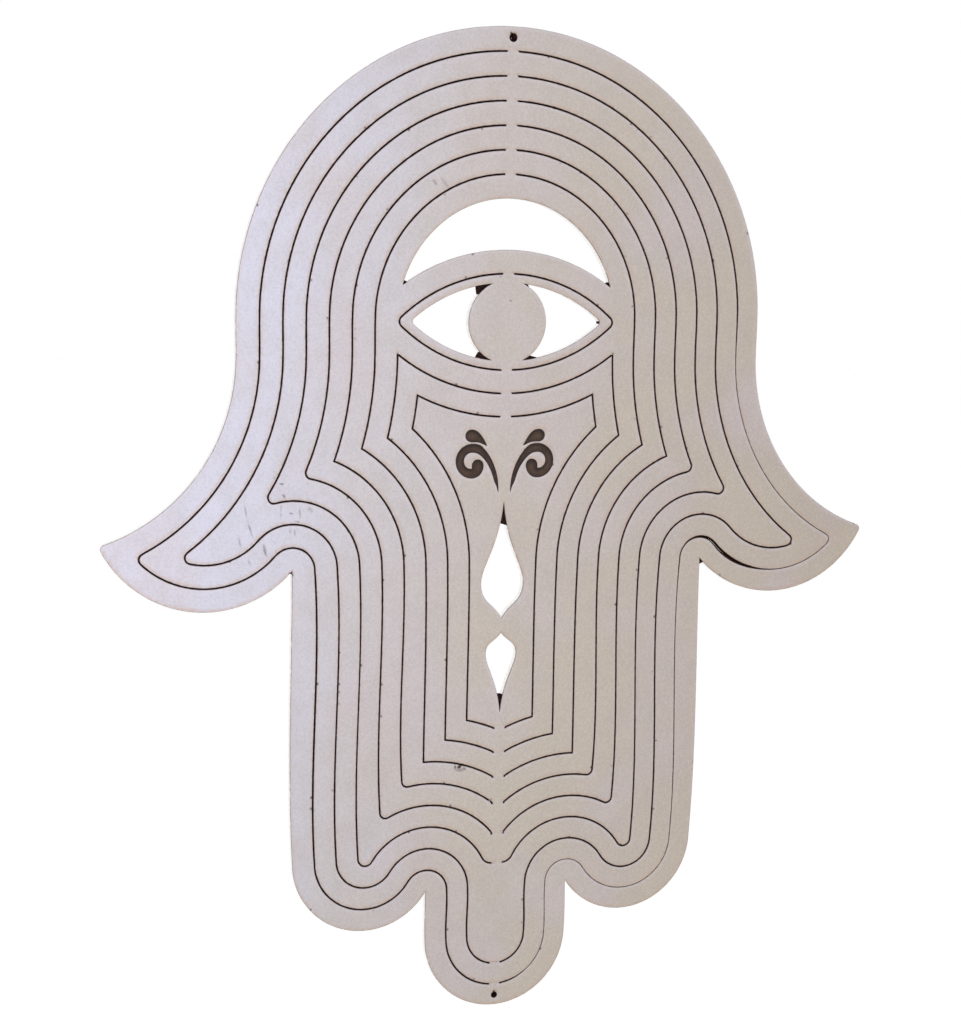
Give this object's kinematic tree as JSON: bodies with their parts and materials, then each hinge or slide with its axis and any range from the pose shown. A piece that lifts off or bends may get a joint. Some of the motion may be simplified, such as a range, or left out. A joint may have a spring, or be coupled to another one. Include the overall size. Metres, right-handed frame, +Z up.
{
  "type": "hamsa hand ornament",
  "caption": "Flat open-hand ornament cut from one metal sheet, with an eye in the palm and nested panels that turn on short necks about the vertical centre line.",
  "frame": {"origin": "centre of the hanging hole, halfway through the sheet", "axes": "+Z up along the hand's centre line, +X to the right seen from the front, +Y through the sheet to the back"},
  "size_m": [0.177, 0.002, 0.2154],
  "materials": {
    "sheet_steel": "fine matt satin face, with dark heat-tinted cut edges"
  },
  "bodies": {
    "outer_ring": {"outer_ring": "sheet_steel"},
    "ring_2": {"ring_2": "sheet_steel", "neck_1_top": "sheet_steel", "neck_1_bottom": "sheet_steel"},
    "ring_3": {"ring_3": "sheet_steel", "neck_2_top": "sheet_steel", "neck_2_bottom": "sheet_steel"},
    "ring_4": {"ring_4": "sheet_steel", "neck_3_top": "sheet_steel", "neck_3_bottom": "sheet_steel"},
    "ring_5": {"ring_5": "sheet_steel", "neck_4_top": "sheet_steel", "neck_4_bottom": "sheet_steel"},
    "ring_6": {"ring_6": "sheet_steel", "neck_5_top": "sheet_steel", "neck_5_bottom": "sheet_steel"},
    "eye_frame": {"eye_frame": "sheet_steel", "neck_6_top": "sheet_steel", "neck_6_bottom": "sheet_steel"},
    "eye": {"eye": "sheet_steel", "eye_neck_top": "sheet_steel", "eye_neck_bottom": "sheet_steel"},
    "palm_frame": {"palm_frame": "sheet_steel", "neck_7_top": "sheet_steel", "neck_7_bottom": "sheet_steel"},
    "palm_panel": {"palm_panel": "sheet_steel", "neck_8_top": "sheet_steel", "neck_8_bottom": "sheet_steel"}
  },
  "joints": [
    {"name": "ring_2_twist", "type": "hinge", "parent": "outer_ring", "child": "ring_2", "pos_m": [0, 0, 0], "axis": [0, 0, 1], "range_deg": [-45, 45]},
    {"name": "ring_3_twist", "type": "hinge", "parent": "ring_2", "child": "ring_3", "pos_m": [0, 0, 0], "axis": [0, 0, 1], "range_deg": [-45, 45]},
    {"name": "ring_4_twist", "type": "hinge", "parent": "ring_3", "child": "ring_4", "pos_m": [0, 0, 0], "axis": [0, 0, 1], "range_deg": [-45, 45]},
    {"name": "ring_5_twist", "type": "hinge", "parent": "ring_4", "child": "ring_5", "pos_m": [0, 0, 0], "axis": [0, 0, 1], "range_deg": [-45, 45]},
    {"name": "ring_6_twist", "type": "hinge", "parent": "ring_5", "child": "ring_6", "pos_m": [0, 0, 0], "axis": [0, 0, 1], "range_deg": [-45, 45]},
    {"name": "eye_frame_twist", "type": "hinge", "parent": "ring_6", "child": "eye_frame", "pos_m": [0, 0, 0], "axis": [0, 0, 1], "range_deg": [-45, 45]},
    {"name": "eye_twist", "type": "hinge", "parent": "eye_frame", "child": "eye", "pos_m": [0, 0, 0], "axis": [0, 0, 1], "range_deg": [-45, 45]},
    {"name": "palm_frame_twist", "type": "hinge", "parent": "eye_frame", "child": "palm_frame", "pos_m": [0, 0, 0], "axis": [0, 0, 1], "range_deg": [-45, 45]},
    {"name": "palm_panel_twist", "type": "hinge", "parent": "palm_frame", "child": "palm_panel", "pos_m": [0, 0, 0], "axis": [0, 0, 1], "range_deg": [-45, 45]}
  ]
}
